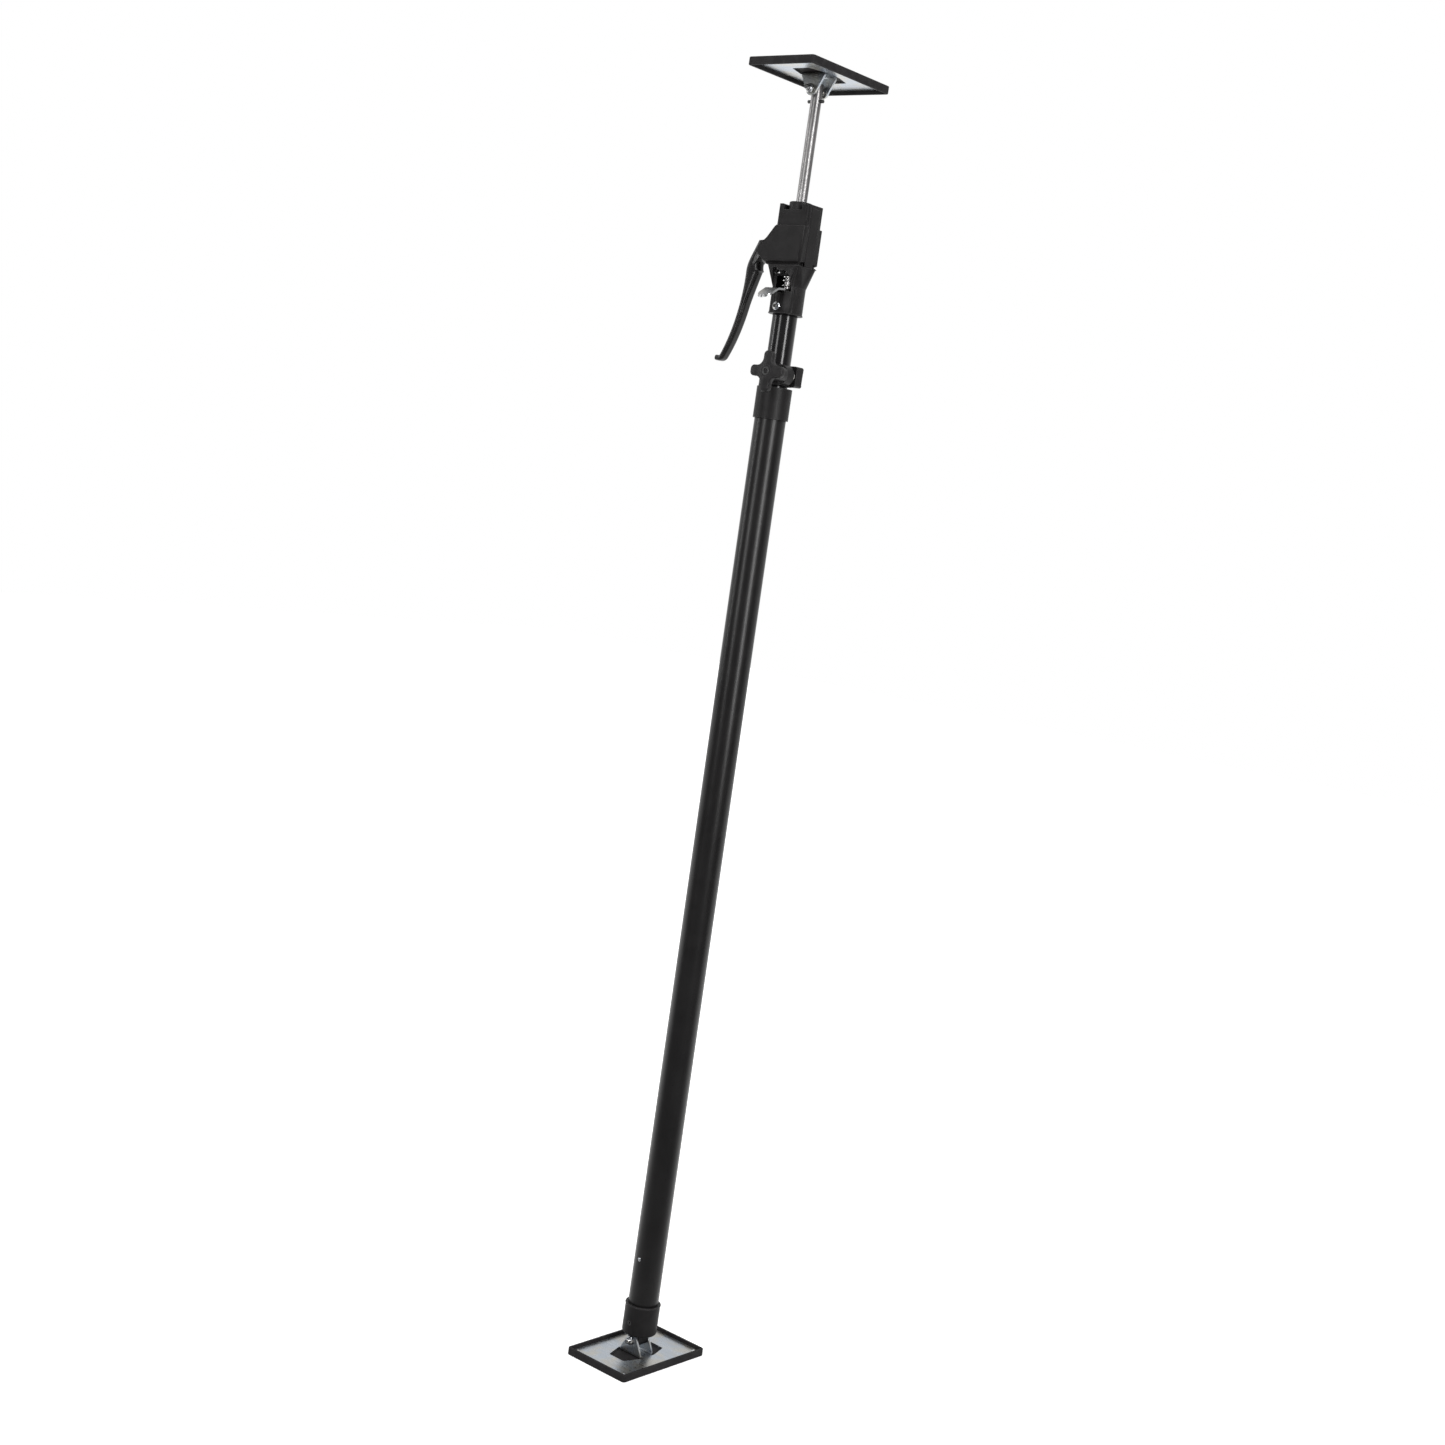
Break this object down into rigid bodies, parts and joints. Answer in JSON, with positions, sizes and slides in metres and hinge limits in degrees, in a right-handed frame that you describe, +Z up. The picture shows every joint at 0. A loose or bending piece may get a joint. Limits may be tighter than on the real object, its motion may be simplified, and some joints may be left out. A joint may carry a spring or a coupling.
{
  "type": "telescopic support pole",
  "caption": "Telescopic drywall support pole with a squeeze-lever jacking head, a clamp knob, and tilting rubber-faced pads at both ends.",
  "frame": {"origin": "the middle of the foot pad's rubber face, on the floor under the pole's axis", "axes": "+Z up along the pole; +X away from the squeeze lever, across the tilt bolts; +Y away from the knob and the release tab, along the tilt bolts"},
  "size_m": [0.1469, 0.1502, 1.5849],
  "materials": {
    "rubber_pad": "matte moulded rubber",
    "zinc_plate": "zinc-plated sheet with faint rolling streaks",
    "zinc_fastener": "zinc-plated fasteners",
    "black_casting": "matte black powder coat on die castings",
    "black_lever": "matte black powder coat on the lever",
    "black_tube": "satin black powder coat on steel tube",
    "black_knob": "matte black moulded plastic",
    "black_bush": "black nylon",
    "steel_plate": "hardened plate, zinc-plated",
    "spring_wire": "bright spring wire",
    "bright_rod": "bright ground steel rod",
    "black_pin": "blackened steel"
  },
  "bodies": {
    "foot": {"foot_rubber_pad": "rubber_pad", "foot_plate": "zinc_plate", "foot_plate_rivets": "zinc_fastener", "foot_bolt": "zinc_fastener", "foot_nut": "zinc_fastener"},
    "pole": {"base_collar": "black_casting", "base_set_screw": "zinc_fastener", "outer_tube": "black_tube", "stop_rivet": "zinc_fastener", "clamp_collar": "black_casting", "clamp_bolt": "zinc_fastener", "clamp_washer": "zinc_fastener"},
    "knob": {"clamp_knob": "black_knob", "knob_insert": "zinc_fastener"},
    "head": {"inner_tube": "black_tube", "inner_tube_bush": "black_bush", "housing": "black_casting", "rod_guide": "black_casting", "socket_screw": "zinc_fastener", "lever_pin": "zinc_fastener", "drive_spring": "spring_wire", "release_spring": "spring_wire"},
    "lever": {"squeeze_lever": "black_lever"},
    "drive": {"drive_plate": "steel_plate"},
    "release": {"release_plate": "steel_plate"},
    "rod": {"lift_rod": "bright_rod", "rod_stop_pin": "black_pin", "rod_end_pin": "black_pin"},
    "top": {"top_plate": "zinc_plate", "top_rubber_pad": "rubber_pad", "top_plate_rivets": "zinc_fastener", "top_bolt": "zinc_fastener", "top_nut": "zinc_fastener", "top_spacers": "zinc_fastener"}
  },
  "joints": [
    {"name": "foot_tilt", "type": "hinge", "parent": "foot", "child": "pole", "pos_m": [0, 0, 0.0224], "axis": [0, 1, 0], "range_deg": [-55, 55]},
    {"name": "knob_turn", "type": "hinge", "parent": "pole", "child": "knob", "pos_m": [0.0215, -0.04, 1.2284], "axis": [0, -1, 0], "range_deg": [0, 360]},
    {"name": "tube_slide", "type": "slide", "parent": "pole", "child": "head", "axis": [0, 0, 1], "range_m": [-0.058, 0.9]},
    {"name": "lever_squeeze", "type": "hinge", "parent": "head", "child": "lever", "pos_m": [-0.033, 0, 1.37505], "axis": [0, -1, 0], "range_deg": [0, 20], "stiffness_Nm_per_rad": 0.6, "springref_deg": -20.05},
    {"name": "drive_plate_lift", "type": "slide", "parent": "head", "child": "drive", "axis": [0, 0, 1], "range_m": [0, 0.00782], "deforming": ["drive_spring"]},
    {"name": "release_press", "type": "hinge", "parent": "head", "child": "release", "pos_m": [0, 0.0141, 1.33045], "axis": [-1, 0, 0], "range_deg": [0, 5.3], "stiffness_Nm_per_rad": 1, "springref_deg": -5.73, "deforming": ["release_spring"]},
    {"name": "rod_slide", "type": "slide", "parent": "head", "child": "rod", "axis": [0, 0, 1], "range_m": [-0.116, 0.118]},
    {"name": "top_tilt", "type": "hinge", "parent": "rod", "child": "top", "pos_m": [0, 0, 1.5625], "axis": [0, 1, 0], "range_deg": [-55, 55]}
  ],
  "couplings": [
    {"joint": "drive_plate_lift", "follows": "lever_squeeze", "m_per_rad": 0.02239}
  ]
}
